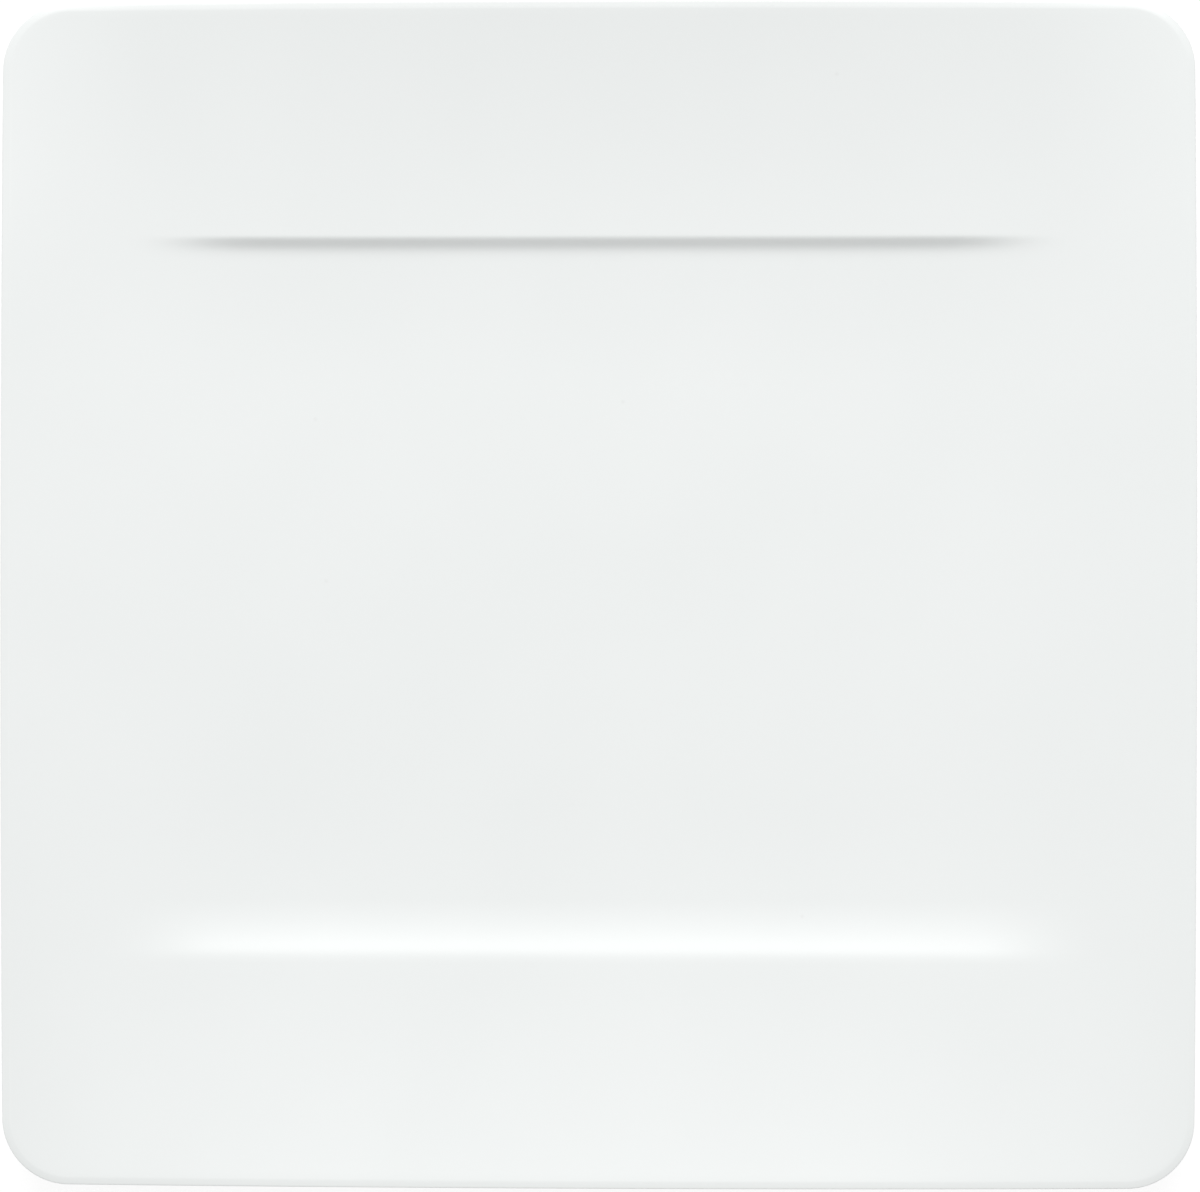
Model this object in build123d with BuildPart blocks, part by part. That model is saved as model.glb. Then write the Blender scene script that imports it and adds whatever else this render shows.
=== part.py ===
import os

from build123d import *

# Square dinner plate with two stepped sides, lengths in millimetres.
# It stands on z = 0 with its middle over the origin. X runs along the two steps.

# Outline from above
PLATE_LENGTH = 270.0
PLATE_WIDTH = 268.0
SIDE_BOW = 0.6
CORNER_RADIUS = 15.0

# Dish
FOOT_HEIGHT = 5.0
WELL_THICKNESS = 5.0
RIM_THICKNESS = 4.2
DISH_DEPTH = 8.8
WELL_FLAT = 50.0
LIP_UPPER = 1.5
LIP_BAND = 1.1

# Steps between the well and the two raised sides
STEP_HEIGHT = 2.1
STEP_SETBACK = 52.1
RISER_WIDTH = 10.5
RISER_BIAS = 3.0
STEP_FULL = 74.0
STEP_FADE = 34.0
UNDER_SPREAD = 9.0

# Foot ring
FOOT_LENGTH = 152.0
FOOT_WIDTH = 138.0
FOOT_CORNER = 24.0
FOOT_BAND = 3.6
FOOT_DRAFT = 12.0
FOOT_CHAMFER = 0.5
FOOT_ROOT = 1.5
FOOT_COVER = 1.0

# Glaze
GLAZE = 0.3
DRY_EDGE = 1.0

# Fineness of the curves, which run on past the rim before they are cut to the outline
SLICES_PER_STRETCH = 6
POINTS_PER_STRIP = 10
POINTS_UNDER = 40
CREST_RUNOUT = 2.0
OVERRUN = 20.0
SLOPE_PROBE = 0.01

# Sizes that follow from those above
HALF_LENGTH = PLATE_LENGTH / 2
HALF_WIDTH = PLATE_WIDTH / 2
FLOOR_HEIGHT = FOOT_HEIGHT + WELL_THICKNESS
FOOT_TOP = FLOOR_HEIGHT - FOOT_COVER
RIM_HEIGHT = FLOOR_HEIGHT + DISH_DEPTH
RIM_MIDDLE = RIM_HEIGHT - RIM_THICKNESS / 2
LIP_LOWER = RIM_THICKNESS - LIP_BAND - LIP_UPPER
CREST = HALF_WIDTH - STEP_SETBACK
TOE = CREST - RISER_WIDTH
STEP_END = STEP_FULL + STEP_FADE


def spread(start, end, count):
    """Evenly spaced values from start up to end, without the end itself."""
    return [start + (end - start) * index / count for index in range(count)]


def mirrored(values):
    """The values with their negatives, in rising order."""
    return sorted({-value for value in values} | set(values))


def ease(share):
    """Go from 0 to 1 without a kink at either end."""
    share = min(max(share, 0.0), 1.0)
    return share**3 * (10 - 15 * share + 6 * share**2)


def bend(distance, half_size):
    """Square of the way from the edge of the flat to the rim."""
    return (max(0.0, distance - WELL_FLAT) / (half_size - WELL_FLAT)) ** 2


def dish_share(x, y):
    """How far the dish has risen, from 0 on the flat to 1 all along the rim."""
    return 1 - (1 - bend(abs(x), HALF_LENGTH)) * (1 - bend(abs(y), HALF_WIDTH))


def step_rise(x, y, toe, crest, bias):
    """Height added by the two raised sides, lost again towards the rim and the step's ends."""
    fade = 1 - ease((abs(x) - STEP_FULL) / STEP_FADE)
    climb = ease((max(0.0, abs(y) - toe) / (crest - toe)) ** bias)
    settle = (HALF_WIDTH - abs(y)) / (HALF_WIDTH - crest)
    return STEP_HEIGHT * fade * climb * settle


def face_height(x, y):
    """Height of the glazed face."""
    return FLOOR_HEIGHT + DISH_DEPTH * dish_share(x, y) + step_rise(x, y, TOE, CREST, RISER_BIAS)


def under_height(x, y):
    """Height of the glazed underside, where the steps are softened."""
    share = dish_share(x, y)
    dish = FOOT_HEIGHT + (DISH_DEPTH + WELL_THICKNESS - RIM_THICKNESS) * share
    return dish + step_rise(x, y, TOE - UNDER_SPREAD / 2, CREST + UNDER_SPREAD, 1.0)


STATIONS_X = mirrored(
    spread(0, STEP_FULL, SLICES_PER_STRETCH)
    + spread(STEP_FULL, STEP_END, SLICES_PER_STRETCH)
    + spread(STEP_END, HALF_LENGTH + OVERRUN, SLICES_PER_STRETCH)
)
STRIPS_Y = mirrored([TOE, CREST + CREST_RUNOUT, HALF_WIDTH + OVERRUN])


def curve_across(x, start, end, count, height, shift):
    """Curve of the face or the underside over one stretch across the plate."""
    width = end - start
    points = [(y, height(x, y) + shift) for y in spread(start, end, count) + [end]]
    shares = spread(0, 1, count) + [1]
    tangents = []
    for y in (start, end):
        slope = (height(x, y + SLOPE_PROBE) - height(x, y - SLOPE_PROBE)) / (2 * SLOPE_PROBE)
        tangents.append((width, width * slope))
    return Edge.make_spline(points, tangents=tangents, parameters=shares, scale=False)


def slice_across(x, skin):
    """Slice through the dish, across its steps, at one place along them."""
    near = STRIPS_Y[0]
    far = STRIPS_Y[-1]
    edges = [curve_across(x, near, far, POINTS_UNDER, under_height, skin)]
    for start, end in zip(STRIPS_Y, STRIPS_Y[1:]):
        edges.append(curve_across(x, start, end, POINTS_PER_STRIP, face_height, -skin))
    for y in (near, far):
        edges.append(Edge.make_line((y, face_height(x, y) - skin), (y, under_height(x, y) + skin)))
    return Plane.YZ.offset(x) * Face(Wire(edges))


def foot_ring(skin):
    """Foot ring, drafted on both sides and broken at the edges that it stands on."""
    length = FOOT_LENGTH - 2 * skin
    width = FOOT_WIDTH - 2 * skin
    corner = FOOT_CORNER - skin
    band = FOOT_BAND - 2 * skin
    with BuildPart() as ring:
        with BuildSketch():
            RectangleRounded(length, width, corner)
        extrude(amount=FOOT_TOP, taper=-FOOT_DRAFT)
        with BuildSketch():
            RectangleRounded(length - 2 * band, width - 2 * band, corner - band)
        extrude(amount=FOOT_TOP, taper=FOOT_DRAFT, mode=Mode.SUBTRACT)
        chamfer(ring.faces().sort_by(Axis.Z)[0].edges(), FOOT_CHAMFER)
    return ring.part


def plate_form(skin):
    """Whole plate, drawn in from its glazed surface by the given skin."""
    side_x = HALF_LENGTH - skin
    side_y = HALF_WIDTH - skin
    corner = (side_x - SIDE_BOW, side_y - SIDE_BOW)
    with BuildPart() as form:
        loft([slice_across(x, skin) for x in STATIONS_X], clean=False)
        with BuildSketch() as outline:
            with BuildLine():
                right = ThreePointArc((corner[0], -corner[1]), (side_x, 0), corner)
                back = ThreePointArc((-corner[0], corner[1]), (0, side_y), corner)
                mirror(right, about=Plane.YZ)
                mirror(back, about=Plane.XZ)
            make_face()
            fillet(outline.vertices(), CORNER_RADIUS - skin)
        extrude(amount=RIM_HEIGHT + OVERRUN, mode=Mode.INTERSECT, clean=False)
        rim = form.faces().filter_by(GeomType.CYLINDER).edges().filter_by(Axis.Z, reverse=True)
        fillet(rim.filter_by_position(Axis.Z, RIM_MIDDLE, RIM_HEIGHT), LIP_UPPER - skin)
        rim = form.faces().filter_by(GeomType.CYLINDER).edges().filter_by(Axis.Z, reverse=True)
        fillet(rim.filter_by_position(Axis.Z, 0, RIM_MIDDLE), LIP_LOWER - skin)
        add(foot_ring(skin), clean=False)
        chamfer(form.edges(Select.NEW), FOOT_ROOT)
    return form.part


with BuildPart() as porcelain_body:
    add(plate_form(GLAZE))

with BuildPart() as coating:
    add(plate_form(0))
    split(bisect_by=Plane.XY.offset(DRY_EDGE), keep=Keep.TOP)
    add(porcelain_body.part, mode=Mode.SUBTRACT)

with BuildPart() as glaze_coat:
    add(coating.solids().sort_by(SortBy.VOLUME)[-1])

with BuildPart() as base_glaze:
    add(coating.solids().sort_by(SortBy.VOLUME)[0])

os.makedirs("parts", exist_ok=True)

porcelain_body.part.label = "porcelain_body"
export_step(porcelain_body.part, "parts/porcelain_body.step")

glaze_coat.part.label = "glaze_coat"
export_step(glaze_coat.part, "parts/glaze_coat.step")

base_glaze.part.label = "base_glaze"
export_step(base_glaze.part, "parts/base_glaze.step")
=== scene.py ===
import math

import bpy
import numpy as np
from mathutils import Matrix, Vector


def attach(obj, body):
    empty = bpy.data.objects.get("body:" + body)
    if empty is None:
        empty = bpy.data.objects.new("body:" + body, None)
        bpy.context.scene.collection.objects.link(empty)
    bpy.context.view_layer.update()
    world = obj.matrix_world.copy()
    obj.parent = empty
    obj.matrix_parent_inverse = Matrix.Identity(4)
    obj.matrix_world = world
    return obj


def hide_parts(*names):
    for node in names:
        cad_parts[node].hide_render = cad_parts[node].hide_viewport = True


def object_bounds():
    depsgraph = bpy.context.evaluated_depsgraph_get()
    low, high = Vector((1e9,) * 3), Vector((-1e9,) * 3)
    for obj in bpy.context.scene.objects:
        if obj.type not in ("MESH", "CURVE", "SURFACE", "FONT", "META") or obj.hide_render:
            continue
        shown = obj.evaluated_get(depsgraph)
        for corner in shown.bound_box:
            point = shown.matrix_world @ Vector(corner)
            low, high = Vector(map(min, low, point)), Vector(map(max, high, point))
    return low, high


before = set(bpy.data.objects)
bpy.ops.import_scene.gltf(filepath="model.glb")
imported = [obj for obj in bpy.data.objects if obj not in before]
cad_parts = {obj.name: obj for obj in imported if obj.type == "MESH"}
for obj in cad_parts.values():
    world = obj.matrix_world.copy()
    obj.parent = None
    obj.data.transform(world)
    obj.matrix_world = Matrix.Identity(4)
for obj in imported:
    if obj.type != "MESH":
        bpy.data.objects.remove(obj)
cad_low, cad_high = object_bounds()

# Square dinner plate with two stepped sides, lengths in metres.
# It stands on z = 0 with its middle over the origin. X runs along the two steps.
MM = 0.001

# Outline from above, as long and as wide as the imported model
HALF_LENGTH = cad_high.x
HALF_WIDTH = cad_high.y
SIDE_BOW = 0.6 * MM
CORNER_RADIUS = 15.0 * MM

# Dish
FOOT_HEIGHT = 5.0 * MM
WELL_THICKNESS = 5.0 * MM
RIM_THICKNESS = 4.2 * MM
DISH_DEPTH = 8.8 * MM
WELL_FLAT = 50.0 * MM
LIP_UPPER = 1.8 * MM
LIP_BEVEL = 1.4 * MM
LIP_DROP = 0.34 * MM
LIP_EDGE = 0.2 * MM
LIP_LOWER = 1.6 * MM

# Steps between the well and the two raised sides
STEP_HEIGHT = 1.95 * MM
STEP_SETBACK = 52.4 * MM
RISER_WIDTH = 9.7 * MM
RISER_BIAS = 3.0
STEP_FULL = 74.0 * MM
STEP_FADE = 34.0 * MM
UNDER_SPREAD = 9.0 * MM

# Softer front step, whose riser is a cove and which fades out further along
FRONT_HEIGHT = 1.4 * MM
FRONT_SETBACK = 52.0 * MM
FRONT_WIDTH = 12.4 * MM
FRONT_CRISPNESS = 8
FRONT_FULL = 82.0 * MM

# Foot ring
FOOT_LENGTH = 152.0 * MM
FOOT_WIDTH = 138.0 * MM
FOOT_CORNER = 24.0 * MM
FOOT_BAND = 3.6 * MM
FOOT_DRAFT = math.radians(12)
FOOT_EDGE = 0.5 * MM
FOOT_ROOT = 1.5 * MM

# Glaze
GLAZE = 0.3 * MM
DRY_EDGE = 1.0 * MM

# Part of a noise's range that most of its values lie in
NOISE_RANGE = (0.3, 0.7)

# Looks of the glaze, which has broad waves and fine orange peel
GLAZE_PALE = (0.870, 0.892, 0.885)
GLAZE_DEEP = (0.857, 0.880, 0.873)
GLAZE_THIN = (0.840, 0.862, 0.848)
GLAZE_POOLED = (0.806, 0.848, 0.842)
SPECK_COLOUR = (0.835, 0.853, 0.845)
TONE_SPACING = 55 * MM
GLOSS_ROUGHNESS = (0.29, 0.35)
GLOSS_SPACING = 25 * MM
GLAZE_IOR = 1.5
COAT = 0.25
COAT_ROUGHNESS = 0.10
THIN_REACH = 0.5 * MM
POOL_REACH = 2.5 * MM
SPECK_SPACING = 38 * MM
SPECK_RADIUS = 0.6 * MM
SPECK_CORE = 0.4
SPECK_SHARE = 0.2
WAVE_SPACING = 18 * MM
WAVE_DEPTH = 0.010 * MM
PEEL_SPACING = 2.2 * MM
PEEL_DEPTH = 0.0012 * MM

# Looks of the bare body
BISQUE_PALE = (0.82, 0.80, 0.77)
BISQUE_DEEP = (0.74, 0.72, 0.68)
BISQUE_SCUFF = (0.56, 0.55, 0.53)
BISQUE_ROUGHNESS = (0.75, 0.92)
BISQUE_SPECULAR = 0.3
MATT_SPACING = 1.1 * MM
GRAIN_SPACING = 0.4 * MM
GRAIN_DEPTH = 0.03 * MM
SCUFF_SPACING = 9 * MM
SCUFF_RANGE = (0.5, 0.75)

# Light, with 1 for white, and half sizes of the lamp as angles seen from the plate
BACKDROP = 1.0
AMBIENT = 0.489
LAMP_DISTANCE = 4.0
LAMP_ZENITH = math.radians(40)
LAMP_HALF_X = math.radians(18)
LAMP_HALF_Y = math.radians(16)
LAMP_BRIGHTNESS = 6.0
FLOOR_HALF = 6.0
FLOOR_GLOW = 0.86
FLOOR_SHADE = 0.22
FLOOR_BOUNCE = 0.85

# Camera, almost straight above and a little to the right of the middle
CAMERA_HEIGHT = 1.1
CAMERA_SIDE = 30 * MM
CAMERA_ROLL = math.radians(0.05)
SENSOR_WIDTH = 36
VIEW_WIDTH = 270.4 * MM
VIEW_X = 0.76 * MM
VIEW_Y = -0.3 * MM

# Sizes that follow from those above
FLOOR_HEIGHT = FOOT_HEIGHT + WELL_THICKNESS
RIM_HEIGHT = FLOOR_HEIGHT + DISH_DEPTH
CREST = HALF_WIDTH - STEP_SETBACK
TOE = CREST - RISER_WIDTH
FRONT_CREST = HALF_WIDTH - FRONT_SETBACK
FRONT_TOE = FRONT_CREST - FRONT_WIDTH

# Fineness of the meshes
LIP_STEPS = 8
UNDER_STEPS = 24
ROUND_STEPS = 5
SHARP_ANGLE = math.radians(40)
CREST_RUNOUT = 2.0 * MM


def line_shares(*stretches):
    """Mesh lines on both sides of the middle, from stretches of (start, end, count).

    A share up to 1 lies on the straight of a side, and one from 1 to 2 in the round of a corner.
    """
    half = [np.linspace(start, end, count, endpoint=False) for start, end, count in stretches]
    half = np.append(np.concatenate(half), stretches[-1][1])
    return np.concatenate([-half[:0:-1], half])


# Lines along and across the plate, closest between the toe of the wider riser and the crests
RISER_START = FRONT_TOE / (HALF_WIDTH - CORNER_RADIUS)
RISER_END = (CREST + CREST_RUNOUT) / (HALF_WIDTH - CORNER_RADIUS)
FINE_LINES = (
    line_shares((0, 1, 36), (1, 2, 10)),
    line_shares((0, RISER_START, 14), (RISER_START, RISER_END, 56), (RISER_END, 1, 12), (1, 2, 10)),
)
PLAIN_LINES = (
    line_shares((0, 1, 24), (1, 2, 8)),
    line_shares((0, RISER_START, 10), (RISER_START, RISER_END, 16), (RISER_END, 1, 8), (1, 2, 8)),
)


# Heights of the face and the underside
def ease(share):
    """Go from 0 to 1 without a kink at either end."""
    share = np.clip(share, 0, 1)
    return share**3 * (10 - 15 * share + 6 * share**2)


def bend(distance, half_size):
    """Square of the way from the edge of the flat to the rim."""
    return (np.maximum(0, distance - WELL_FLAT) / (half_size - WELL_FLAT)) ** 2


def dish_share(points):
    """How far the dish has risen, from 0 on the flat to 1 all along the rim."""
    x, y = np.abs(points[..., 0]), np.abs(points[..., 1])
    return 1 - (1 - bend(x, HALF_LENGTH)) * (1 - bend(y, HALF_WIDTH))


def fading(points, rise, crest, full):
    """Rise of a raised side, lost again towards the rim and past the full part of the step."""
    x, y = np.abs(points[..., 0]), np.abs(points[..., 1])
    fade = 1 - ease((x - full) / STEP_FADE)
    settle = (HALF_WIDTH - y) / (HALF_WIDTH - crest)
    return fade * rise * settle


def back_rise(y):
    """Rise of the back step."""
    return STEP_HEIGHT * ease((np.maximum(0, y - TOE) / RISER_WIDTH) ** RISER_BIAS)


def front_rise(y):
    """Rise of the front step, which follows a parabola up to its crest and levels out there."""
    share = np.maximum(0, -y - FRONT_TOE) / FRONT_WIDTH
    return FRONT_HEIGHT * share**2 / (1 + share ** (2 * FRONT_CRISPNESS)) ** (1 / FRONT_CRISPNESS)


def face_height(points):
    """Height of the glazed face."""
    y = points[..., 1]
    back = fading(points, back_rise(y), CREST, STEP_FULL)
    front = fading(points, front_rise(y), FRONT_CREST, FRONT_FULL)
    return FLOOR_HEIGHT + DISH_DEPTH * dish_share(points) + back + front


def under_height(points):
    """Height of the glazed underside, where the steps are softened."""
    toe = TOE - UNDER_SPREAD / 2
    crest = CREST + UNDER_SPREAD
    rise = STEP_HEIGHT * ease((np.abs(points[..., 1]) - toe) / (crest - toe))
    dish = FOOT_HEIGHT + (DISH_DEPTH + WELL_THICKNESS - RIM_THICKNESS) * dish_share(points)
    return dish + fading(points, rise, crest, STEP_FULL)


# Points of the meshes
def patch(lines, half_x, half_y, corner, bow):
    """Points that fill a square with rounded corners and bowed sides."""
    along, across = np.meshgrid(*lines, indexing="ij")
    turn_x = np.maximum(np.abs(along) - 1, 0)
    turn_y = np.maximum(np.abs(across) - 1, 0)
    reach = np.maximum(turn_x, turn_y)
    least = np.minimum(turn_x, turn_y)
    angle = np.divide(least, reach, out=np.zeros_like(reach), where=reach > 0) * math.pi / 4
    longer, shorter = reach * np.cos(angle), reach * np.sin(angle)
    round_x = np.where(turn_x >= turn_y, longer, shorter)
    round_y = np.where(turn_x >= turn_y, shorter, longer)
    x = np.clip(along, -1, 1) * (half_x - corner) + np.sign(along) * round_x * corner
    y = np.clip(across, -1, 1) * (half_y - corner) + np.sign(across) * round_y * corner
    bowed_x = x * (1 - bow / half_x * (y / half_y) ** 2)
    bowed_y = y * (1 - bow / half_y * (x / half_x) ** 2)
    return np.stack([bowed_x, bowed_y], axis=-1)


def border(grid):
    """Edge of a patch, once round it."""
    return np.concatenate([grid[:-1, 0], grid[-1, :-1], grid[:0:-1, -1], grid[0, :0:-1]])


def lift(points, height):
    """Points with a height added to each."""
    return np.concatenate([points, np.broadcast_to(height, points.shape[:-1])[..., None]], axis=-1)


def rim_patch(lines, inset):
    """Points that fill the plate's outline, drawn in by the inset."""
    return patch(lines, HALF_LENGTH - inset, HALF_WIDTH - inset, CORNER_RADIUS - inset, SIDE_BOW)


def foot_patch(lines, outset):
    """Points that fill the foot ring's outer line, drawn out by the outset."""
    return patch(lines, FOOT_LENGTH / 2 + outset, FOOT_WIDTH / 2 + outset, FOOT_CORNER + outset, 0)


def face(lines, skin):
    """Face of the plate inside its lip."""
    points = rim_patch(lines, LIP_UPPER)
    return lift(points, face_height(points) - skin)


def rounded(start, corner, end, steps):
    """Rings round a corner between two surfaces, without the first one."""
    rings = []
    for angle in np.linspace(0, math.pi / 2, steps + 1)[1:]:
        rings.append(start + (corner - start) * math.sin(angle) + (end - corner) * (1 - math.cos(angle)))
    return rings


def lip(lines, skin):
    """Rings over the lip, from the face down to the underside."""
    top = border(rim_patch(lines, LIP_UPPER))
    bevel = border(rim_patch(lines, LIP_BEVEL))
    edge = border(rim_patch(lines, skin))
    under = border(rim_patch(lines, LIP_LOWER))
    start = lift(top, face_height(top) - skin)
    shoulder = lift(bevel, face_height(bevel) - skin)
    bevel_end = lift(edge, face_height(edge) - skin - LIP_DROP)
    corner_start = shoulder + (bevel_end - shoulder) * (1 - LIP_EDGE / LIP_BEVEL)
    corner_end = bevel_end - np.array([0, 0, LIP_EDGE])
    lower_corner = lift(edge, under_height(edge) + skin)
    lower_start = lower_corner + np.array([0, 0, LIP_LOWER - skin])
    lower_end = lift(under, under_height(under) + skin)
    rings = rounded(start, shoulder, corner_start, LIP_STEPS)
    rings += rounded(corner_start, bevel_end, corner_end, ROUND_STEPS)
    rings.append(lower_start)
    return rings + rounded(lower_start, lower_corner, lower_end, LIP_STEPS)


def wall_outset(height, skin):
    """How far the foot ring's outer wall stands out at a height."""
    return height * math.tan(FOOT_DRAFT) - skin


def inner_outset(height, skin):
    """How far the foot ring's inner wall stands out at a height, less than 0 because it lies further in."""
    return skin - FOOT_BAND - height * math.tan(FOOT_DRAFT)


def underside(lines, skin):
    """Rings from the lip in to the root of the foot ring."""
    start = border(rim_patch(lines, LIP_LOWER))
    end = border(foot_patch(lines, wall_outset(FOOT_HEIGHT, skin) + FOOT_ROOT))
    rings = []
    for share in np.linspace(0, 1, UNDER_STEPS + 1)[1:]:
        points = start + (end - start) * share
        rings.append(lift(points, under_height(points) + skin))
    return rings


def foot_root(lines, skin, outset, away):
    """Rings from the foot ring's root down onto one of its walls, with away 1 outside it and -1 inside."""
    corner = border(foot_patch(lines, outset(FOOT_HEIGHT, skin)))
    start = border(foot_patch(lines, outset(FOOT_HEIGHT, skin) + away * FOOT_ROOT))
    end = border(foot_patch(lines, outset(FOOT_HEIGHT - FOOT_ROOT, skin)))
    height = under_height(corner) + skin
    start = lift(start, under_height(start) + skin)
    return rounded(start, lift(corner, height), lift(end, height - FOOT_ROOT), ROUND_STEPS)


def foot_ring_at(lines, outset, height):
    """One level ring on the foot."""
    return lift(border(foot_patch(lines, outset)), height)


def dry_ring(lines, skin, outset):
    """Ring where the glaze stops, above the bare standing edge."""
    return foot_ring_at(lines, outset(DRY_EDGE, skin), DRY_EDGE)


def standing_edge(lines, skin):
    """Rings under the foot, from its outer wall to its inner wall."""
    outer_start = foot_ring_at(lines, wall_outset(FOOT_EDGE, skin), FOOT_EDGE)
    outer_corner = foot_ring_at(lines, wall_outset(0, skin), 0)
    outer_end = foot_ring_at(lines, wall_outset(0, skin) - FOOT_EDGE, 0)
    inner_start = foot_ring_at(lines, inner_outset(0, skin) + FOOT_EDGE, 0)
    inner_corner = foot_ring_at(lines, inner_outset(0, skin), 0)
    inner_end = foot_ring_at(lines, inner_outset(FOOT_EDGE, skin), FOOT_EDGE)
    rings = [outer_start] + rounded(outer_start, outer_corner, outer_end, ROUND_STEPS)
    return rings + [inner_start] + rounded(inner_start, inner_corner, inner_end, ROUND_STEPS)


def coat_rings(lines, skin):
    """Rings from the face over the lip and the underside to the dry edge outside the foot."""
    rings = lip(lines, skin) + underside(lines, skin)
    return rings + foot_root(lines, skin, wall_outset, 1) + [dry_ring(lines, skin, wall_outset)]


def base_rings(lines, skin):
    """Rings from the base under the well to the dry edge inside the foot."""
    return foot_root(lines, skin, inner_outset, -1) + [dry_ring(lines, skin, inner_outset)]


def base(lines, skin):
    """Base under the well, inside the foot ring."""
    points = foot_patch(lines, inner_outset(FOOT_HEIGHT, skin) - FOOT_ROOT)
    return lift(points, under_height(points) + skin)


# Pieces
def patch_quads(index):
    """Quads of a patch, facing up."""
    corners = [index[:-1, :-1], index[1:, :-1], index[1:, 1:], index[:-1, 1:]]
    return np.stack([corner.ravel() for corner in corners], axis=1)


def band_quads(edge, following):
    """Quads of a band between two rings, facing away from the plate."""
    return np.stack([edge, following, np.roll(following, -1), np.roll(edge, -1)], axis=1)


def mark(mesh, name, values):
    """Keep a number for each point of the mesh, for its material to read."""
    mesh.attributes.new(name, "FLOAT", "POINT").data.foreach_set("value", values)


def outside(points, half_x, half_y, corner):
    """Distance outside a rounded rectangle, less than 0 inside it."""
    past = np.abs(points[:, :2]) - [half_x - corner, half_y - corner]
    beyond = np.linalg.norm(np.maximum(past, 0), axis=1)
    return beyond + np.minimum(past.max(axis=1), 0) - corner


def thin_share(points):
    """1 round the edge of the lip, where glaze draws thin, and less further in."""
    return np.exp(np.minimum(outside(points, HALF_LENGTH, HALF_WIDTH, CORNER_RADIUS), 0) / THIN_REACH)


def pooled_share(points):
    """1 in the two roots of the foot ring, where glaze gathers, and less further away."""
    share = 0
    for outset in (wall_outset(FOOT_HEIGHT, 0), inner_outset(FOOT_HEIGHT, 0)):
        wall = outside(points, FOOT_LENGTH / 2 + outset, FOOT_WIDTH / 2 + outset, FOOT_CORNER + outset)
        away = np.hypot(wall, points[:, 2] - FOOT_HEIGHT)
        share = np.maximum(share, np.exp(-((away / POOL_REACH) ** 2)))
    return share


def closed_mesh(name, first, rings, last):
    """Closed mesh of a patch that faces up, bands through the rings, and a patch that faces down."""
    points = [first.reshape(-1, 3)]
    index = np.arange(first.shape[0] * first.shape[1]).reshape(first.shape[:2])
    quads = [patch_quads(index)]
    edge = border(index)
    count = index.size
    for ring in rings:
        points.append(ring)
        following = np.arange(count, count + len(ring))
        count += len(ring)
        quads.append(band_quads(edge, following))
        edge = following
    points.append(last.reshape(-1, 3))
    index = index + count
    quads.append(band_quads(edge, border(index)))
    quads.append(patch_quads(index)[:, ::-1])
    points = np.concatenate(points)
    mesh = bpy.data.meshes.new(name)
    mesh.from_pydata(points.tolist(), [], np.concatenate(quads).tolist())
    mesh.shade_smooth()
    mesh.set_sharp_from_angle(angle=SHARP_ANGLE)
    mark(mesh, "thin", thin_share(points))
    mark(mesh, "pooled", pooled_share(points))
    return mesh


def add_piece(name, mesh, material, node):
    """Put a piece on the plate in the place of its node."""
    piece = bpy.data.objects.new(name, mesh)
    bpy.context.scene.collection.objects.link(piece)
    mesh.materials.append(material)
    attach(piece, "root")
    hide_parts(node)


# Materials
def new_material(name):
    """A material with its node tree and the shader that colours it."""
    material = bpy.data.materials.new(name)
    material.use_nodes = True
    tree = material.node_tree
    tree.nodes.clear()
    shader = tree.nodes.new("ShaderNodeBsdfPrincipled")
    output = tree.nodes.new("ShaderNodeOutputMaterial")
    tree.links.new(shader.outputs["BSDF"], output.inputs["Surface"])
    return material, tree, shader


def noise(tree, spacing, detail):
    """Noise over the piece, with its bumps about a spacing apart."""
    place = tree.nodes.new("ShaderNodeTexCoord")
    texture = tree.nodes.new("ShaderNodeTexNoise")
    texture.inputs["Scale"].default_value = 1 / spacing
    texture.inputs["Detail"].default_value = detail
    tree.links.new(place.outputs["Object"], texture.inputs["Vector"])
    return texture.outputs["Fac"]


def marked(tree, name):
    """The numbers that the mesh keeps under a name."""
    node = tree.nodes.new("ShaderNodeAttribute")
    node.attribute_name = name
    return node.outputs["Fac"]


def between(tree, source, start, end, low=0.0, high=1.0):
    """Numbers from low to high as the source goes from start to end."""
    node = tree.nodes.new("ShaderNodeMapRange")
    node.inputs["From Min"].default_value = start
    node.inputs["From Max"].default_value = end
    node.inputs["To Min"].default_value = low
    node.inputs["To Max"].default_value = high
    tree.links.new(source, node.inputs["Value"])
    return node.outputs["Result"]


def ramp(tree, source, low, high):
    """Colours from low to high as a noise goes through the middle of its range."""
    node = tree.nodes.new("ShaderNodeValToRGB")
    for element, place, colour in zip(node.color_ramp.elements, NOISE_RANGE, (low, high)):
        element.position = place
        element.color = (*colour, 1)
    tree.links.new(source, node.inputs["Fac"])
    return node.outputs["Color"]


def tinted(tree, colour, share, tint):
    """The colour with a share of a tint over it."""
    node = tree.nodes.new("ShaderNodeMixRGB")
    node.inputs["Color2"].default_value = (*tint, 1)
    tree.links.new(share, node.inputs["Fac"])
    tree.links.new(colour, node.inputs["Color1"])
    return node.outputs["Color"]


def bumped(tree, source, depth, below=None):
    """Bumps of a depth in metres, over the ones below."""
    node = tree.nodes.new("ShaderNodeBump")
    node.inputs["Distance"].default_value = depth
    tree.links.new(source, node.inputs["Height"])
    if below is not None:
        tree.links.new(below, node.inputs["Normal"])
    return node.outputs["Normal"]


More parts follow.
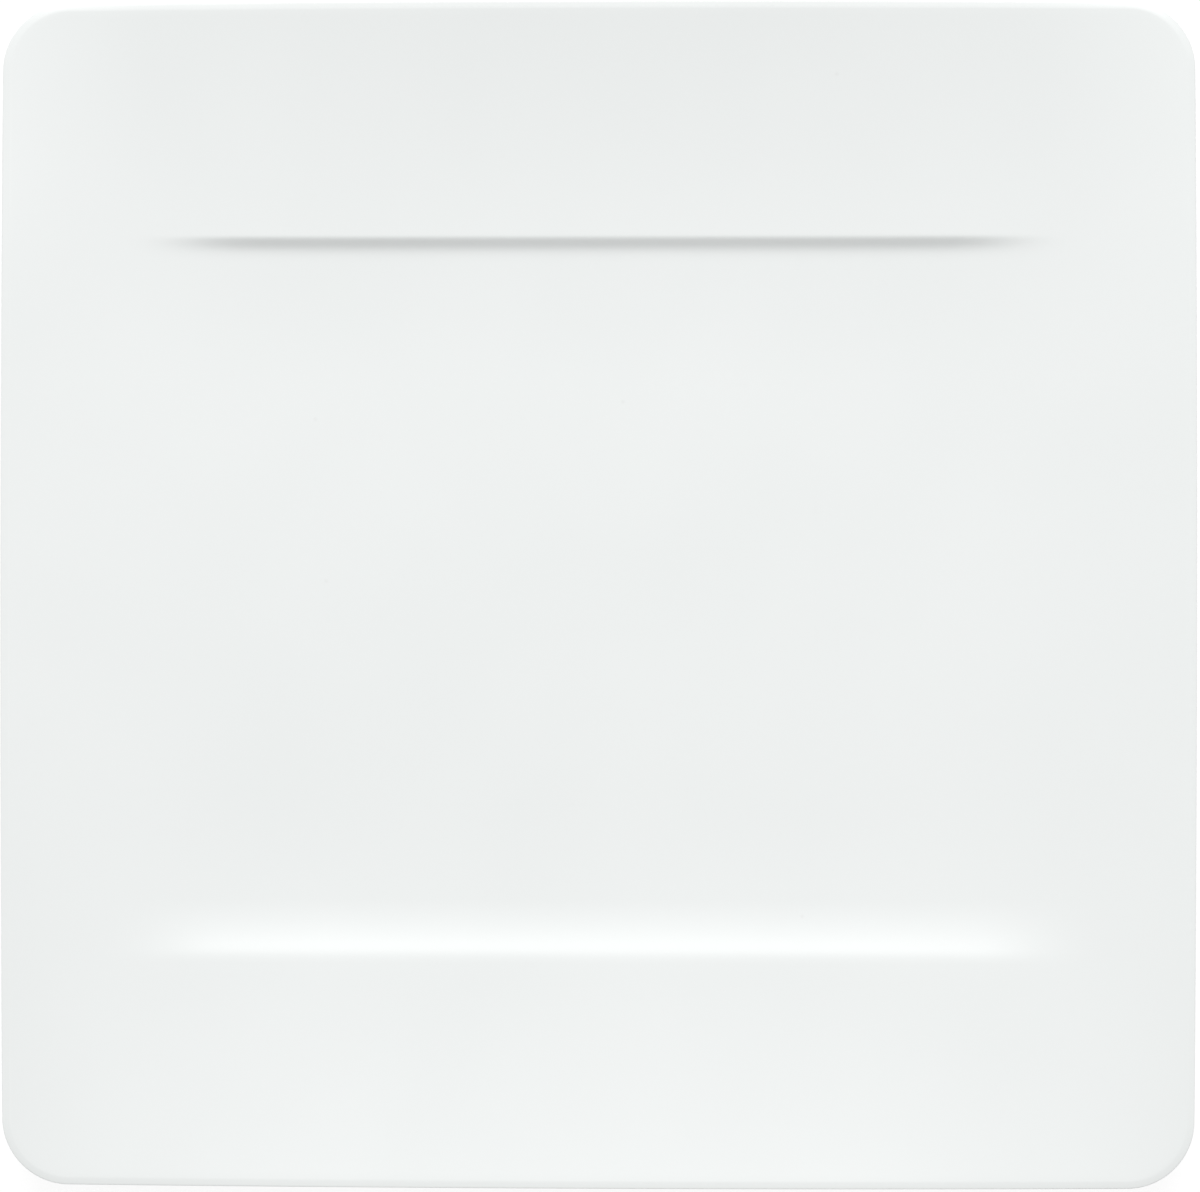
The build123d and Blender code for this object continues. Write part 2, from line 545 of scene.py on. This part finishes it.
def specks(tree):
    """A few faint specks fired into the glaze: 1 in a speck and otherwise 0."""
    place = tree.nodes.new("ShaderNodeTexCoord")
    cells = tree.nodes.new("ShaderNodeTexVoronoi")
    cells.voronoi_dimensions = "2D"
    cells.inputs["Scale"].default_value = 1 / SPECK_SPACING
    tree.links.new(place.outputs["Object"], cells.inputs["Vector"])
    radius = SPECK_RADIUS / SPECK_SPACING
    spot = between(tree, cells.outputs["Distance"], radius, SPECK_CORE * radius)
    chosen = tree.nodes.new("ShaderNodeMath")
    chosen.operation = "LESS_THAN"
    chosen.inputs[1].default_value = SPECK_SHARE
    tree.links.new(cells.outputs["Color"], chosen.inputs[0])
    both = tree.nodes.new("ShaderNodeMath")
    both.operation = "MULTIPLY"
    tree.links.new(spot, both.inputs[0])
    tree.links.new(chosen.outputs["Value"], both.inputs[1])
    return both.outputs["Value"]


def glaze_material():
    """Clear gloss over white, a little uneven in tone, gloss and flatness, with a few faint specks."""
    material, tree, shader = new_material("white_glaze")
    tone = ramp(tree, noise(tree, TONE_SPACING, detail=2), GLAZE_DEEP, GLAZE_PALE)
    tone = tinted(tree, tone, marked(tree, "thin"), GLAZE_THIN)
    tone = tinted(tree, tone, marked(tree, "pooled"), GLAZE_POOLED)
    tone = tinted(tree, tone, specks(tree), SPECK_COLOUR)
    tree.links.new(tone, shader.inputs["Base Color"])
    gloss = between(tree, noise(tree, GLOSS_SPACING, detail=3), *NOISE_RANGE, *GLOSS_ROUGHNESS)
    tree.links.new(gloss, shader.inputs["Roughness"])
    shader.inputs["IOR"].default_value = GLAZE_IOR
    shader.inputs["Coat Weight"].default_value = COAT
    shader.inputs["Coat Roughness"].default_value = COAT_ROUGHNESS
    waves = bumped(tree, noise(tree, WAVE_SPACING, detail=1), WAVE_DEPTH)
    peel = bumped(tree, noise(tree, PEEL_SPACING, detail=1), PEEL_DEPTH, waves)
    tree.links.new(peel, shader.inputs["Normal"])
    return material


def bisque_material():
    """Bare fired body: matt, fine-grained and slightly warm, scuffed grey in patches."""
    material, tree, shader = new_material("bare_body")
    grain = noise(tree, GRAIN_SPACING, detail=4)
    scuffs = between(tree, noise(tree, SCUFF_SPACING, detail=5), *SCUFF_RANGE)
    tone = ramp(tree, grain, BISQUE_DEEP, BISQUE_PALE)
    tone = tinted(tree, tone, scuffs, BISQUE_SCUFF)
    tree.links.new(tone, shader.inputs["Base Color"])
    matt = between(tree, noise(tree, MATT_SPACING, detail=2), *NOISE_RANGE, *BISQUE_ROUGHNESS)
    tree.links.new(matt, shader.inputs["Roughness"])
    shader.inputs["Specular IOR Level"].default_value = BISQUE_SPECULAR
    tree.links.new(bumped(tree, grain, GRAIN_DEPTH), shader.inputs["Normal"])
    return material


# The three pieces of the plate
glaze = glaze_material()
bisque = bisque_material()

coat_mesh = closed_mesh(
    "glaze_coat_skin",
    face(FINE_LINES, 0),
    coat_rings(FINE_LINES, 0) + coat_rings(FINE_LINES, GLAZE)[::-1],
    face(FINE_LINES, GLAZE),
)
add_piece("glaze_coat_skin", coat_mesh, glaze, "glaze_coat")

base_mesh = closed_mesh(
    "base_glaze_skin",
    base(PLAIN_LINES, GLAZE),
    base_rings(PLAIN_LINES, GLAZE) + base_rings(PLAIN_LINES, 0)[::-1],
    base(PLAIN_LINES, 0),
)
add_piece("base_glaze_skin", base_mesh, glaze, "base_glaze")

body_mesh = closed_mesh(
    "fired_body",
    face(PLAIN_LINES, GLAZE),
    coat_rings(PLAIN_LINES, GLAZE)
    + standing_edge(PLAIN_LINES, GLAZE)
    + base_rings(PLAIN_LINES, GLAZE)[::-1],
    base(PLAIN_LINES, GLAZE),
)
add_piece("fired_body", body_mesh, bisque, "porcelain_body")


# Floor and backdrop
def seen_directly(tree):
    """1 for light that goes to the camera, straight or by way of a reflection, and otherwise 0."""
    path = tree.nodes.new("ShaderNodeLightPath")
    seen = path.outputs["Is Camera Ray"]
    for kind in ("Is Glossy Ray", "Is Transmission Ray"):
        either = tree.nodes.new("ShaderNodeMath")
        either.operation = "MAXIMUM"
        tree.links.new(seen, either.inputs[0])
        tree.links.new(path.outputs[kind], either.inputs[1])
        seen = either.outputs["Value"]
    return seen


def shaded(tree, kind, brightness):
    """A grey shader of a kind."""
    node = tree.nodes.new(kind)
    node.inputs["Color"].default_value = (brightness, brightness, brightness, 1)
    return node.outputs[0]


def show(tree, output_kind, unseen, seen):
    """Give seen to the camera and to reflections, and unseen to all other light."""
    choice = tree.nodes.new("ShaderNodeMixShader")
    output = tree.nodes.new(output_kind)
    tree.links.new(seen_directly(tree), choice.inputs["Fac"])
    tree.links.new(unseen, choice.inputs[1])
    tree.links.new(seen, choice.inputs[2])
    tree.links.new(choice.outputs["Shader"], output.inputs["Surface"])


def floor_material():
    """White with the shadow kept for the camera and in reflections, and plain pale for other light."""
    material = bpy.data.materials.new("floor")
    material.use_nodes = True
    tree = material.node_tree
    tree.nodes.clear()
    both = tree.nodes.new("ShaderNodeAddShader")
    tree.links.new(shaded(tree, "ShaderNodeBsdfDiffuse", FLOOR_SHADE), both.inputs[0])
    tree.links.new(shaded(tree, "ShaderNodeEmission", FLOOR_GLOW), both.inputs[1])
    plain = shaded(tree, "ShaderNodeBsdfDiffuse", FLOOR_BOUNCE)
    show(tree, "ShaderNodeOutputMaterial", plain, both.outputs["Shader"])
    return material


def add_floor():
    """Plain floor under the plate."""
    signs = [(-1, -1), (1, -1), (1, 1), (-1, 1)]
    mesh = bpy.data.meshes.new("floor")
    mesh.from_pydata([(x * FLOOR_HALF, y * FLOOR_HALF, 0) for x, y in signs], [], [(0, 1, 2, 3)])
    mesh.materials.append(floor_material())
    floor = bpy.data.objects.new("floor", mesh)
    bpy.context.scene.collection.objects.link(floor)


def add_backdrop():
    """White all round for the camera and in reflections, and soft light from all round otherwise."""
    world = bpy.data.worlds.new("studio")
    bpy.context.scene.world = world
    world.use_nodes = True
    tree = world.node_tree
    tree.nodes.clear()
    soft = shaded(tree, "ShaderNodeBackground", AMBIENT)
    white = shaded(tree, "ShaderNodeBackground", BACKDROP)
    show(tree, "ShaderNodeOutputWorld", soft, white)


# Lamp and camera
def add_lamp():
    """Large soft lamp above the plate and behind it, facing the plate."""
    light = bpy.data.lights.new("key", "AREA")
    light.shape = "RECTANGLE"
    light.size = 2 * LAMP_DISTANCE * math.tan(LAMP_HALF_X)
    light.size_y = 2 * LAMP_DISTANCE * math.tan(LAMP_HALF_Y)
    light.energy = math.pi * light.size * light.size_y * LAMP_BRIGHTNESS
    lamp = bpy.data.objects.new("key", light)
    lamp.location = (0, LAMP_DISTANCE * math.sin(LAMP_ZENITH), LAMP_DISTANCE * math.cos(LAMP_ZENITH))
    lamp.rotation_euler = (-LAMP_ZENITH, 0, 0)
    bpy.context.scene.collection.objects.link(lamp)


def add_camera():
    """Camera whose view is about as wide as the plate at the height of its rim."""
    distance = CAMERA_HEIGHT - RIM_HEIGHT
    data = bpy.data.cameras.new("camera")
    data.sensor_width = SENSOR_WIDTH
    data.lens = SENSOR_WIDTH * distance / VIEW_WIDTH
    camera = bpy.data.objects.new("camera", data)
    camera.location = (VIEW_X + CAMERA_SIDE, VIEW_Y, CAMERA_HEIGHT)
    camera.rotation_euler = (0, math.atan2(CAMERA_SIDE, distance), CAMERA_ROLL)
    bpy.context.scene.collection.objects.link(camera)
    bpy.context.scene.camera = camera


add_floor()
add_backdrop()
add_lamp()
add_camera()
bpy.context.scene.view_settings.view_transform = "Standard"
